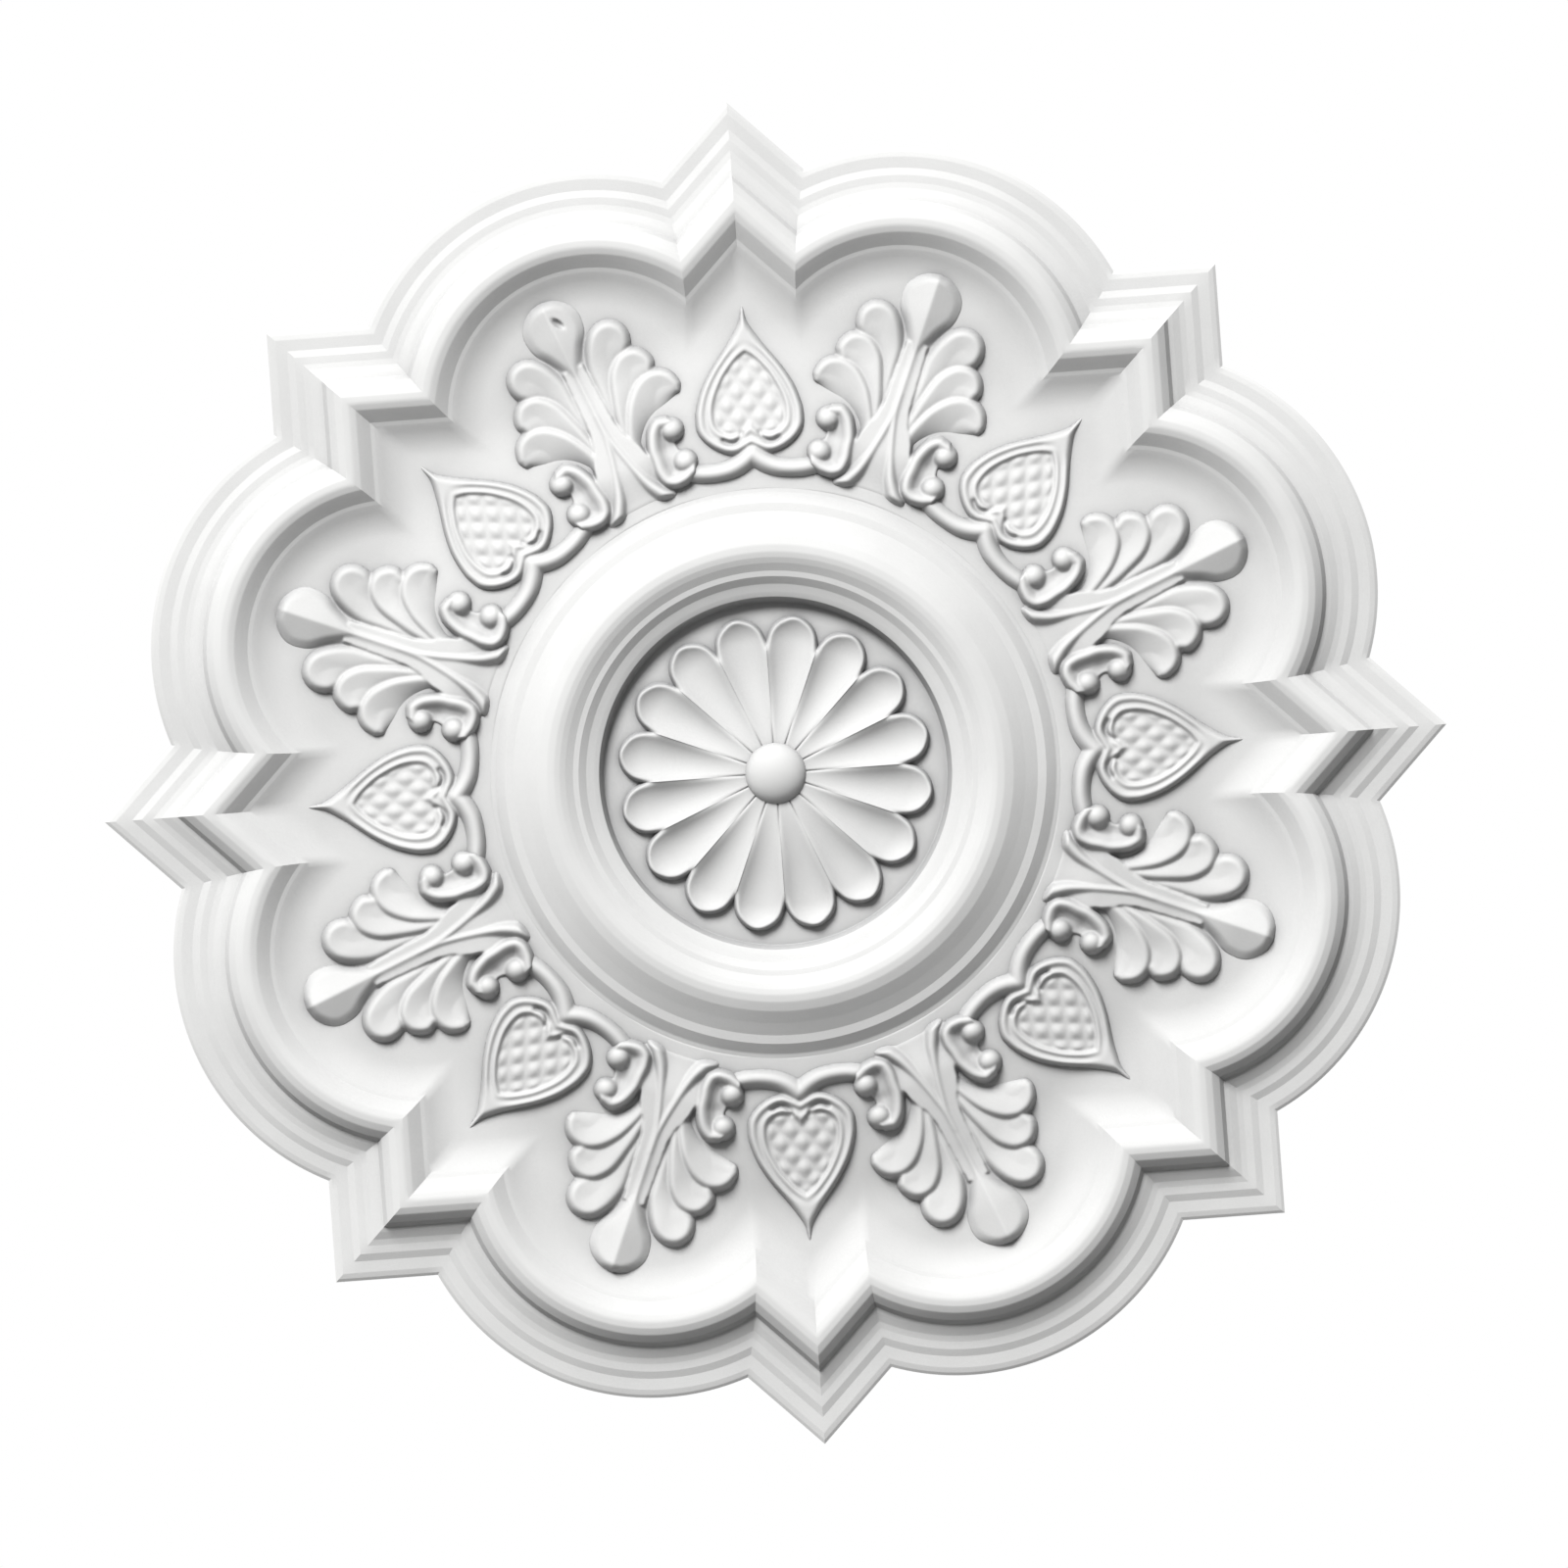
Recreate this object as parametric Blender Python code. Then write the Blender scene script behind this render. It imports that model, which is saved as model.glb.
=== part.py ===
"""Cast plaster ceiling rose: a lobed and cornered moulding, a round moulding, a rosette, leaves and hearts.

It is drawn flat, with its back on Z = 0 and its relief towards +Z, then stood upright:
the back faces +Y, the relief faces -Y, and one corner of the outline points up.
Sizes are in metres.
"""

import math

import bmesh
import bpy
from mathutils import Matrix, Vector

# Plan of the outline: pointed corners and round lobes in turn
FOLDS = 8
CORNER_REACH = 0.330
LOBE_REACH = 0.3164
LOBE_RADIUS = 0.1200
LOBE_STEPS = 7

# Outer moulding, from its edge inwards
EDGE_THICKNESS = 0.0040
EDGE_ROUND_WIDTH = 0.0038
EDGE_ROUND_RISE = 0.0006
FLANGE_WIDTH = 0.0046
FLANGE_SLOPE = 0.0002
STEP_WIDTH = 0.0028
STEP_RISE = 0.0012
BAND_WIDTH = 0.0061
BAND_SLOPE = 0.0007
COVE_WIDTH = 0.0052
COVE_RISE = 0.0022
LEDGE_WIDTH = 0.0018
LEDGE_SLOPE = 0.0004
ROLL_RADIUS = 0.0145
ROLL_OUTER_ANGLE = math.radians(62)
ROLL_INNER_ANGLE = math.radians(46)
ROLL_STEPS = 5
INNER_LEDGE_WIDTH = 0.0019
INNER_LEDGE_FALL = 0.0002

# Field under the leaves and hearts: a cove below the outer moulding, then a cone up to the round moulding
FIELD_COVE_WIDTH = 0.0180
FIELD_COVE_FALL = 0.0045
FIELD_COVE_STEPS = 3
CONE_RADIUS = 0.2120
CONE_SLOPE = 0.165

# Round moulding, from its foot on the field inwards
RING_FOOT_RADIUS = 0.1429
RING_COVE_WIDTH = 0.0103
RING_COVE_RISE = 0.0036
RING_BAND_WIDTH = 0.0046
RING_BAND_SLOPE = 0.0007
RING_SLOPE_WIDTH = 0.0106
RING_SLOPE_RISE = 0.0055
RING_ROLL_RADIUS = 0.0160
RING_ROLL_OUTER_ANGLE = math.radians(30)
RING_ROLL_INNER_ANGLE = math.radians(38)
RING_STEPS = 4
RING_LEDGE_WIDTH = 0.0024
RING_LEDGE_FALL = 0.0006
RING_HOLLOW_WIDTH = 0.0052
RING_HOLLOW_FALL = 0.0030
RING_INNER_BAND_WIDTH = 0.0050
RING_INNER_BAND_FALL = 0.0013
RING_WALL_WIDTH = 0.0036
RING_WALL_FALL = 0.0053

# Rosette in the middle, on a floor of its own
ROSETTE_GAP = 0.0042
PETALS = 16
PETAL_RISE = 0.0050
PETAL_EDGE_FALL = 0.0016
PETAL_SCOOP = 0.0016
PETAL_VALLEY = 0.0022
BOSS_RADIUS = 0.0144
BOSS_RISE = 0.0060
BOSS_SIDES = 14

# Leaves on the axes of the lobes
LEAF_ROOT_GAP = 0.0015
LEAF_TIP_GAP = 0.0088
LEAF_CREST = 0.0038
LEAF_EDGE = 0.0022
LEAF_HEEL = 0.0012
STEM_RISE = 0.0036
SCROLL_WIDTH = 0.0052
SCROLL_RISE = 0.0036
BALL_RADIUS = 0.0054
BALL_RISE = 0.0050
BALL_SIDES = 8

# Hearts on the axes of the corners, and the links between the leaves below them
HEART_FOOT_GAP = 0.0144
HEART_TIP_GAP = 0.0290
HEART_BAND_RISE = 0.0026
HEART_GROOVE_RISE = 0.0012
HEART_INNER_BAND_RISE = 0.0022
HEART_BED_RISE = 0.0006
LINK_WIDTH = 0.0060
LINK_RISE = 0.0032

# Pieces of a carved curve between two of its points
CURVE_STEPS = 2

# How far the carving runs into the body, so that the two join
SINK = 0.0015

# Share of the faces kept after the union, which leaves slivers along every seam
KEPT_SHARE = 0.500

SECTOR = 2 * math.pi / FOLDS

# Half of a leaf as shares of its length: outwards from the round moulding, and sideways from its axis.
# A side lobe lies between its rim, the raised edge towards the leaf's tip, and its heel.
SIDE_LOBES = (
    {
        "rim": ((0.40, 0.014), (0.61, 0.03), (0.75, 0.09), (0.817, 0.185), (0.77, 0.275)),
        "heel": ((0.37, 0.006), (0.47, 0.05), (0.57, 0.12), (0.63, 0.20), (0.69, 0.285)),
    },
    {
        "rim": ((0.31, 0.018), (0.49, 0.08), (0.61, 0.14), (0.665, 0.235), (0.61, 0.305)),
        "heel": ((0.28, 0.009), (0.40, 0.09), (0.46, 0.16), (0.50, 0.23), (0.55, 0.31)),
    },
    {
        "rim": ((0.20, 0.030), (0.34, 0.075), (0.47, 0.15), (0.54, 0.27), (0.48, 0.375)),
        "heel": ((0.17, 0.020), (0.23, 0.12), (0.30, 0.19), (0.35, 0.28), (0.41, 0.39)),
    },
)
MEDIAN_LOBE = (
    (0.28, 0.03),
    (0.63, 0.03),
    (0.75, 0.08),
    (0.85, 0.13),
    (0.91, 0.13),
    (0.965, 0.09),
    (0.995, 0.03),
)
STEM = ((0.012, 0.14), (0.06, 0.115), (0.13, 0.08), (0.21, 0.05), (0.40, 0.022))
SCROLL = ((0.045, 0.33), (0.035, 0.20), (0.12, 0.13), (0.24, 0.135), (0.325, 0.20), (0.32, 0.28))
BALLS = ((0.265, 0.265), (0.12, 0.255))

# Height along a side lobe and along the median lobe, from the stem outwards, as shares of the full height
SIDE_LOBE_SWELL = (0.45, 0.8, 1.0, 1.0, 0.8)
MEDIAN_LOBE_SWELL = (0.45, 0.7, 1.0, 1.0, 1.0, 1.0, 1.0)
# Height across the fluted stem, from one side to the other, as shares of its rise
STEM_FLUTES = (0.75, 0.30, 0.80, 0.30, 0.75)
# Place of a side lobe's crest between its rim and its heel
CREST_PLACE = 0.12
# Reach and height at which a dome turns from its wall to its crown
DOME_SHOULDER = 0.75

# Half of a heart as shares of its length, outwards from its foot and sideways: its edge and its bed
HEART_EDGE = (
    (0.05, 0.0),
    (0.0, 0.105),
    (0.02, 0.225),
    (0.10, 0.322),
    (0.23, 0.365),
    (0.39, 0.335),
    (0.58, 0.237),
    (0.75, 0.125),
    (0.87, 0.028),
    (1.0, 0.0),
)
HEART_BED = (
    (0.18, 0.0),
    (0.145, 0.06),
    (0.14, 0.132),
    (0.164, 0.204),
    (0.243, 0.241),
    (0.36, 0.224),
    (0.506, 0.164),
    (0.60, 0.085),
    (0.65, 0.02),
    (0.68, 0.0),
)
# Half of a link, as shares of the gap between the round moulding and the heart, outwards and sideways
LINK = ((0.70, 0.0), (0.33, 0.65), (0.22, 1.47), (0.31, 1.78))


def clear_scene():
    for obj in list(bpy.data.objects):
        bpy.data.objects.remove(obj, do_unlink=True)


def new_collection(name):
    made = bpy.data.collections.new(name)
    bpy.context.scene.collection.children.link(made)
    return made


def plaster():
    """White cast plaster, smooth and matt."""
    material = bpy.data.materials.new("cast_plaster")
    material.use_nodes = True
    shader = material.node_tree.nodes["Principled BSDF"]
    shader.inputs["Base Color"].default_value = (0.80, 0.80, 0.79, 1.0)
    shader.inputs["Roughness"].default_value = 0.62
    shader.inputs["Metallic"].default_value = 0.0
    return material


def loft(name, sections):
    """A closed solid through sections with equally many points, with a cap at each end."""
    bm = bmesh.new()
    loops = [[bm.verts.new(point) for point in section] for section in sections]
    for near, far in zip(loops, loops[1:]):
        for i in range(len(near)):
            j = (i + 1) % len(near)
            bm.faces.new((near[i], near[j], far[j], far[i]))
    bm.faces.new(loops[0][::-1])
    bm.faces.new(loops[-1])
    bmesh.ops.remove_doubles(bm, verts=bm.verts, dist=1e-6)
    bmesh.ops.triangulate(bm, faces=bm.faces)
    bmesh.ops.recalc_face_normals(bm, faces=bm.faces)
    mesh = bpy.data.meshes.new(name)
    bm.to_mesh(mesh)
    bm.free()
    return mesh


def spline(points, steps=CURVE_STEPS):
    """Points along a smooth curve through the given ones, with steps pieces between each two."""
    knots = [Vector(p) for p in points]
    knots = [2 * knots[0] - knots[1]] + knots + [2 * knots[-1] - knots[-2]]
    curve = []
    for a, b, c, d in zip(knots, knots[1:], knots[2:], knots[3:]):
        bend = 2 * a - 5 * b + 4 * c - d
        twist = 3 * b - a - 3 * c + d
        for i in range(steps):
            t = i / steps
            curve.append(0.5 * (2 * b + (c - a) * t + bend * t**2 + twist * t**3))
    curve.append(knots[-2])
    return curve


def outline(inset):
    """The outline moved in by inset: right-angled corners between round lobes, mitred where they meet."""
    axis = SECTOR / 2
    centre = Vector((math.cos(axis), math.sin(axis))) * (LOBE_REACH - LOBE_RADIUS)
    to_edge = (CORNER_REACH - centre.x - centre.y) / math.sqrt(2) - inset
    radius = LOBE_RADIUS - inset
    half_chord = math.sqrt(radius**2 - to_edge**2)
    start = math.atan2(to_edge - half_chord, to_edge + half_chord)
    points = []
    for fold in range(FOLDS):
        turn = Matrix.Rotation(fold * SECTOR, 2)
        points.append(turn @ Vector((CORNER_REACH - inset * math.sqrt(2), 0)))
        for i in range(LOBE_STEPS + 1):
            angle = start + 2 * (axis - start) * i / LOBE_STEPS
            points.append(turn @ (centre + Vector((math.cos(angle), math.sin(angle))) * radius))
    return points


def roll(radius, outer_angle, inner_angle, steps):
    """A rounded crest as (inset, height) points from its outer foot, which it leaves at the outer angle."""
    points = []
    for i in range(1, steps + 1):
        angle = -outer_angle + (outer_angle + inner_angle) * i / steps
        inset = radius * (math.sin(outer_angle) + math.sin(angle))
        points.append((inset, radius * (math.cos(angle) - math.cos(outer_angle))))
    return points


def profile(start, steps):
    """Points (inset, height) from a first point and a list of (width, rise) steps."""
    points = [start]
    for width, rise in steps:
        points.append((points[-1][0] + width, points[-1][1] + rise))
    return points


def onwards(points, more):
    """The points, and more that start from the last of them."""
    inset, height = points[-1]
    return points + [(inset + w, height + h) for w, h in more]


def outer_profile():
    """(inset, height) points of the outer moulding, from its edge to the ledge over the field."""
    steps = (
        (EDGE_ROUND_WIDTH, EDGE_ROUND_RISE),
        (FLANGE_WIDTH, FLANGE_SLOPE),
        (STEP_WIDTH, STEP_RISE),
        (BAND_WIDTH, BAND_SLOPE),
        (COVE_WIDTH, COVE_RISE),
        (LEDGE_WIDTH, LEDGE_SLOPE),
    )
    points = profile((0.0, EDGE_THICKNESS), steps)
    points = onwards(points, roll(ROLL_RADIUS, ROLL_OUTER_ANGLE, ROLL_INNER_ANGLE, ROLL_STEPS))
    return onwards(points, [(INNER_LEDGE_WIDTH, -INNER_LEDGE_FALL)])


def field_height(inset, radius):
    """Height of the field at an inset from the outline and a radius from the axis."""
    ledge_inset, ledge_height = outer_profile()[-1]
    share = min((inset - ledge_inset) / FIELD_COVE_WIDTH, 1.0)
    cove = FIELD_COVE_FALL * (1.0 - (1.0 - share) ** 2)
    return ledge_height - cove + CONE_SLOPE * max(CONE_RADIUS - radius, 0.0)


def bed_height(point):
    """Height of the field below a point of the carving, which lies clear of the cove."""
    return field_height(math.inf, point.length)


def ring_profile():
    """(inset, height) points of the round moulding, from its foot on the field to the rosette's floor."""
    foot = field_height(math.inf, RING_FOOT_RADIUS)
    cove = ((RING_COVE_WIDTH / 2, RING_COVE_RISE / 4), (RING_COVE_WIDTH / 2, RING_COVE_RISE * 3 / 4))
    points = profile((0.0, foot), cove)
    steps = ((RING_BAND_WIDTH, RING_BAND_SLOPE), (RING_SLOPE_WIDTH, RING_SLOPE_RISE))
    points += profile(points[-1], steps)[1:]
    points = onwards(points, roll(RING_ROLL_RADIUS, RING_ROLL_OUTER_ANGLE, RING_ROLL_INNER_ANGLE, RING_STEPS))
    steps = (
        (RING_LEDGE_WIDTH, -RING_LEDGE_FALL),
        (RING_HOLLOW_WIDTH, -RING_HOLLOW_FALL),
        (RING_INNER_BAND_WIDTH, -RING_INNER_BAND_FALL),
        (RING_WALL_WIDTH, -RING_WALL_FALL),
    )
    return points + profile(points[-1], steps)[1:]


def at_height(points, height):
    return [Vector((p[0], p[1], height)) for p in points]


def body_mesh():
    """Back, outer moulding, field, round moulding and the rosette's floor, lofted as one skin."""
    edge = outline(0.0)
    sections = [at_height(edge, 0.0)]
    sections += [at_height(outline(inset), height) for inset, height in outer_profile()]
    ledge_inset = outer_profile()[-1][0]
    for i in range(1, FIELD_COVE_STEPS + 1):
        inset = ledge_inset + FIELD_COVE_WIDTH * i / FIELD_COVE_STEPS
        sections.append([Vector((*p, field_height(inset, p.length))) for p in outline(inset)])
    bearings = [math.atan2(p.y, p.x) for p in sections[-1]]
    rings = [(CONE_RADIUS, field_height(math.inf, CONE_RADIUS))]
    rings += [(RING_FOOT_RADIUS - inset, height) for inset, height in ring_profile()]
    for radius, height in rings:
        sections.append(at_height([(radius * math.cos(a), radius * math.sin(a)) for a in bearings], height))
    return loft("rose_body", sections)


def rosette_mesh():
    """Petals with raised rims, a shallow scoop and a valley on each side, as one solid on the floor."""
    inner_inset, floor = ring_profile()[-1]
    reach = RING_FOOT_RADIUS - inner_inset - ROSETTE_GAP
    pitch = 2 * math.pi / PETALS
    # One petal's columns: bearing as a share of the pitch, reach as a share, and depth below the rims
    columns = ((0.0, 0.90, PETAL_VALLEY), (0.2, 0.965, 0.0), (0.5, 1.0, PETAL_SCOOP), (0.8, 0.965, 0.0))
    # Rows from the petals' ends inwards: share of the reach, share of the depth, and fall below the rims
    rows = (
        (1.0, 0.0, PETAL_RISE + SINK),
        (1.0, 0.5, PETAL_EDGE_FALL),
        (0.93, 1.0, 0.0),
        (0.60, 0.8, 0.0),
        (0.20, 0.15, 0.0),
    )
    sections = []
    for reach_share, depth_share, fall in rows:
        section = []
        for petal in range(PETALS):
            for bearing, column_reach, depth in columns:
                angle = pitch * (petal + bearing)
                radius = reach * reach_share * column_reach
                height = floor + PETAL_RISE - fall - depth * depth_share
                section.append((radius * math.cos(angle), radius * math.sin(angle), height))
        sections.append(section)
    return loft("rosette", sections)


def raised(points, heights):
    """A cross-section: points of the plan, each at its height above the field."""
    return [Vector((p[0], p[1], bed_height(p) + h)) for p, h in zip(points, heights)]


def strand(name, path, width, rise):
    """A ridge along a path in the plan."""
    sections = []
    for i, here in enumerate(path):
        along = path[min(i + 1, len(path) - 1)] - path[max(i - 1, 0)]
        side = Vector((-along.y, along.x)).normalized() * width / 2
        sections.append(raised((here + side, here, here - side), (-SINK, rise, -SINK)))
    return loft(name, sections)


def dome(name, centre, radius, foot, rise, sides):
    """A low dome whose wall starts at the height foot and which rises to the middle of its crown."""
    bearings = [2 * math.pi * i / sides for i in range(sides)]
    shoulder = foot + rise * DOME_SHOULDER
    levels = ((1.0, foot - SINK), (1.0, foot), (DOME_SHOULDER, shoulder), (0.0, foot + rise))
    sections = []
    for share, height in levels:
        circle = [Vector((math.cos(a), math.sin(a))) * radius * share + Vector(centre) for a in bearings]
        sections.append(at_height(circle, height))
    return loft(name, sections)


def leaf_points(shares, side=1):
    """Points of the plan on one side of a leaf, which fills the field between the two mouldings."""
    root = RING_FOOT_RADIUS + LEAF_ROOT_GAP
    length = LOBE_REACH - outer_profile()[-1][0] - LEAF_TIP_GAP - root
    return [Vector((root + along * length, side * across * length)) for along, across in shares]


def swell(shares):
    """Height shares at the stations of a spline through equally many points."""
    return [p.x for p in spline([(share, 0.0) for share in shares])]


def median_lobe():
    """The lobe at a leaf's tip, with a keel along its middle, and its neck."""
    sections = []
    for p, share in zip(spline(leaf_points(MEDIAN_LOBE)), swell(MEDIAN_LOBE_SWELL)):
        left = Vector((p.x, -p.y))
        heights = (-SINK, LEAF_EDGE * share, LEAF_CREST * share, LEAF_EDGE * share, -SINK)
        sections.append(raised((left, left, Vector((p.x, 0.0)), p, p), heights))
    return loft("median_lobe", sections)


def side_lobe(lobe, side):
    """A lobe with its crest close to its rim, and a slope from there down to its heel."""
    rim = spline(leaf_points(lobe["rim"], side))
    heel = spline(leaf_points(lobe["heel"], side))
    sections = []
    for near, far, share in zip(rim, heel, swell(SIDE_LOBE_SWELL)):
        across = (near, near.lerp(far, CREST_PLACE), far, far)
        sections.append(raised(across, (-SINK, LEAF_CREST * share, LEAF_HEEL * share, -SINK)))
    return loft("side_lobe", sections)


def stem():
    """The stem, which flares and is fluted towards the round moulding."""
    heights = [-SINK] + [STEM_RISE * share for share in STEM_FLUTES] + [-SINK]
    places = (-1.0, -1.0, -0.5, 0.0, 0.5, 1.0, 1.0)
    sections = []
    for p in leaf_points(STEM):
        sections.append(raised([Vector((p.x, p.y * place)) for place in places], heights))
    return loft("stem", sections)


def leaf_meshes():
    """The solids of one leaf, which lies along +X."""
    meshes = [median_lobe(), stem()]
    for side in (1, -1):
        meshes += [side_lobe(lobe, side) for lobe in SIDE_LOBES]
        meshes.append(strand("scroll", spline(leaf_points(SCROLL, side)), SCROLL_WIDTH, SCROLL_RISE))
        for ball in leaf_points(BALLS, side):
            meshes.append(dome("ball", ball, BALL_RADIUS, bed_height(ball), BALL_RISE, BALL_SIDES))
    return meshes


def mirrored(half):
    """The points of a half outline on the other side of the axis, in turn back to its start."""
    return [Vector((p.x, -p.y)) for p in half[::-1]]


def heart_mesh():
    """A heart that lies along +X: an outer and an inner band, a groove between them, and a sunken bed."""
    foot = RING_FOOT_RADIUS + HEART_FOOT_GAP
    length = CORNER_REACH - outer_profile()[-1][0] * math.sqrt(2) - HEART_TIP_GAP - foot
    outlines = []
    for shares in (HEART_EDGE, HEART_BED):
        half = spline([(foot + along * length, across * length) for along, across in shares])
        outlines.append(half + mirrored(half)[1:-1])
    # Share of the way from the edge to the bed, and height
    steps = (
        (0.0, -SINK),
        (0.22, HEART_BAND_RISE),
        (0.46, HEART_GROOVE_RISE),
        (0.74, HEART_INNER_BAND_RISE),
        (1.0, HEART_BED_RISE),
    )
    sections = []
    for share, height in steps:
        loop = [edge.lerp(bed, share) for edge, bed in zip(*outlines)]
        sections.append(raised(loop, [height] * len(loop)))
    return loft("heart", sections)


def link_mesh():
    """The band below a heart that joins the scrolls of two leaves, with a point towards the heart."""
    gap = HEART_FOOT_GAP
    arm = spline([(RING_FOOT_RADIUS + along * gap, across * gap) for along, across in LINK])
    return strand("link", mirrored(arm)[:-1] + arm, LINK_WIDTH, LINK_RISE)


def place(mesh, where, parent, bearing=0.0):
    obj = bpy.data.objects.new(mesh.name, mesh)
    where.objects.link(obj)
    obj.parent = parent
    obj.rotation_euler.z = bearing
    return obj


def carve(body, carving):
    """Joins the carving to the body as one solid, and thins out the faces along its seams."""
    union = body.modifiers.new("carving", "BOOLEAN")
    union.operation = "UNION"
    union.operand_type = "COLLECTION"
    union.collection = carving
    union.solver = "EXACT"
    flat = body.modifiers.new("flat_faces", "DECIMATE")
    flat.decimate_type = "DISSOLVE"
    flat.angle_limit = math.radians(1)
    thin = body.modifiers.new("fewer_slivers", "DECIMATE")
    thin.ratio = KEPT_SHARE


def main():
    clear_scene()
    rose = new_collection("ceiling_rose")
    carving = new_collection("carving")
    back = bpy.data.objects.new("back_centre", None)
    rose.objects.link(back)
    back.rotation_euler.x = math.pi / 2

    body = place(body_mesh(), rose, back)
    body.name = "ceiling_rose"
    body.data.materials.append(plaster())

    place(rosette_mesh(), carving, back)
    petal_top = ring_profile()[-1][1] + PETAL_RISE
    place(dome("boss", (0.0, 0.0), BOSS_RADIUS, petal_top, BOSS_RISE, BOSS_SIDES), carving, back)
    leaf = leaf_meshes()
    heart = [heart_mesh(), link_mesh()]
    for fold in range(FOLDS):
        for mesh in leaf:
            place(mesh, carving, back, (fold + 0.5) * SECTOR)
        for mesh in heart:
            place(mesh, carving, back, fold * SECTOR)
    for obj in carving.objects:
        obj.hide_render = True
        obj.display_type = "WIRE"

    carve(body, carving)
    body.data.shade_smooth()
    body.data.set_sharp_from_angle(angle=math.radians(25))


main()
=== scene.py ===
"""Cast plaster ceiling rose, in white plaster under soft light from the upper left.

Each piece is modelled flat, with the rose's axis on Z and its relief upwards, in millimetres, and is
then stood up so that the relief faces -Y and one corner of the outline points up.
"""

import math

import bpy
import numpy as np
from mathutils import Matrix, Vector


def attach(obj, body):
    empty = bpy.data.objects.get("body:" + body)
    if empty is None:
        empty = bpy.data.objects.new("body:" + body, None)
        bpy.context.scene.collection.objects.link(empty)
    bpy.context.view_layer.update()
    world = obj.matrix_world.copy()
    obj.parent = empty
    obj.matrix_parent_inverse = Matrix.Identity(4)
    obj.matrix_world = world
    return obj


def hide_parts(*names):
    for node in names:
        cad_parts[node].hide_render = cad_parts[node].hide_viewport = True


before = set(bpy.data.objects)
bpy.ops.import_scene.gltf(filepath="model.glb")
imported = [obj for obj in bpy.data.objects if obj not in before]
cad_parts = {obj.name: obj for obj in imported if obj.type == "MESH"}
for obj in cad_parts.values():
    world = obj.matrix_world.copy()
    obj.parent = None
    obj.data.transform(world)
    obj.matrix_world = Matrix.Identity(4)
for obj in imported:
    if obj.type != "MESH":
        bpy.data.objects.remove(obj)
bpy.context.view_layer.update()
bpy.ops.object.select_all(action="DESELECT")

MM = 0.001
# Faces of the outer moulding that meet at more than this angle show a crisp mitre
MITRE_ANGLE = math.radians(16)
FOLDS = 8
SECTOR = 2 * math.pi / FOLDS

# Plan of the outline, in millimetres
CORNER_REACH = 330.0
LOBE_REACH = 316.4
LOBE_RADIUS = 120.0
LINE_STEPS = 8
LOBE_STEPS = 44

# The back's arris: its width and its rise
BACK_ARRIS = 0.6
# Section of the outer moulding: inset from the outline, height over the back, and rounding radius
MOULDING = (
    (0.0, 3.2, 0.5),
    (1.4, 3.9, 1.5),
    (3.9, 4.5, 2.5),
    (9.4, 4.8, 1.2),
    (12.9, 6.0, 1.5),
    (16.6, 6.4, 3.0),
    (19.5, 7.1, 4.0),
    (23.0, 8.6, 2.0),
    (25.4, 9.4, 0.8),
    (27.4, 12.2, 1.2),
    (31.0, 14.9, 4.0),
    (34.3, 16.1, 4.0),
    (37.6, 16.4, 7.0),
    (41.0, 15.5, 5.0),
    (44.0, 13.9, 5.0),
    (47.5, 12.0, 1.2),
    (49.5, 11.4, 0.8),
    (51.6, 10.6, 1.0),
)

# Dished field: a cove below the outer moulding, and a cone up to the round moulding
COVE_INSET = 51.6
COVE_WIDTH = 14.5
COVE_FALL = 3.1
FIELD_LOW = 7.5
CONE_OUTER_RADIUS = 223.0
CONE_INNER_RADIUS = 204.0
CONE_SLOPE = 0.20
CONE_FOOT_SLOPE = 0.11
COVE_ROWS = 12
FIELD_ROWS = 40
# The field ends inside the round moulding, in a well that lies under the rosette's floor
WELL_RADIUS = 138.0
WELL_LEVEL = 14.0

# Round moulding: radius of its foot on the field, and the level of its underside, inside the body
RING_FOOT_RADIUS = 143.0
RING_BOTTOM = 12.0
RING_STEPS = 360
# Section of the round moulding: radius, height over its foot on the field, and rounding radius
ROUND_MOULDING = (
    (144.5, -1.2, 0.5),
    (141.4, -0.1, 3.5),
    (137.6, 0.9, 4.0),
    (132.6, 3.9, 0.6),
    (128.4, 4.7, 1.2),
    (122.4, 7.5, 5.0),
    (116.5, 10.5, 6.0),
    (112.0, 11.9, 6.0),
    (108.5, 12.2, 6.0),
    (105.8, 11.8, 5.0),
    (103.0, 10.9, 4.0),
    (99.2, 9.2, 0.6),
    (96.5, 8.8, 0.6),
    (92.8, 6.6, 2.0),
    (89.0, 5.5, 2.0),
    (86.4, 4.6, 0.8),
    (84.2, -1.2, 0.6),
    (76.0, -1.2, 0.5),
)


def mix(a, b, t):
    return a * (1 - t) + b * t


def ease(x, low, high):
    """0 below low, 1 above high, and a smooth rise between them."""
    t = np.clip((x - low) / (high - low), 0.0, 1.0)
    return t * t * (3 - 2 * t)


def cone_height(r):
    """Rise of the field over its lowest ring; its slope eases out at both ends."""
    r = np.asarray(r, dtype=float)
    reach = CONE_OUTER_RADIUS - CONE_INNER_RADIUS
    outer = CONE_SLOPE * np.clip(CONE_OUTER_RADIUS - r, 0.0, reach) ** 2 / (2 * reach)
    way = np.clip(CONE_INNER_RADIUS - r, 0.0, None)
    bend = (CONE_SLOPE - CONE_FOOT_SLOPE) / (2 * (CONE_INNER_RADIUS - RING_FOOT_RADIUS))
    return outer + CONE_SLOPE * way - bend * way**2


def field_height(r, inset):
    """Height of the field at a distance from the axis and an inset from the outline."""
    left = 1.0 - np.clip((np.asarray(inset, dtype=float) - COVE_INSET) / COVE_WIDTH, 0.0, 1.0)
    return FIELD_LOW + COVE_FALL * left**2 + cone_height(r)


def ring_foot():
    """Level of the foot of the round moulding."""
    return float(field_height(RING_FOOT_RADIUS, math.inf))


def rosette_floor():
    return ring_foot() + ROUND_MOULDING[-1][1]


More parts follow.
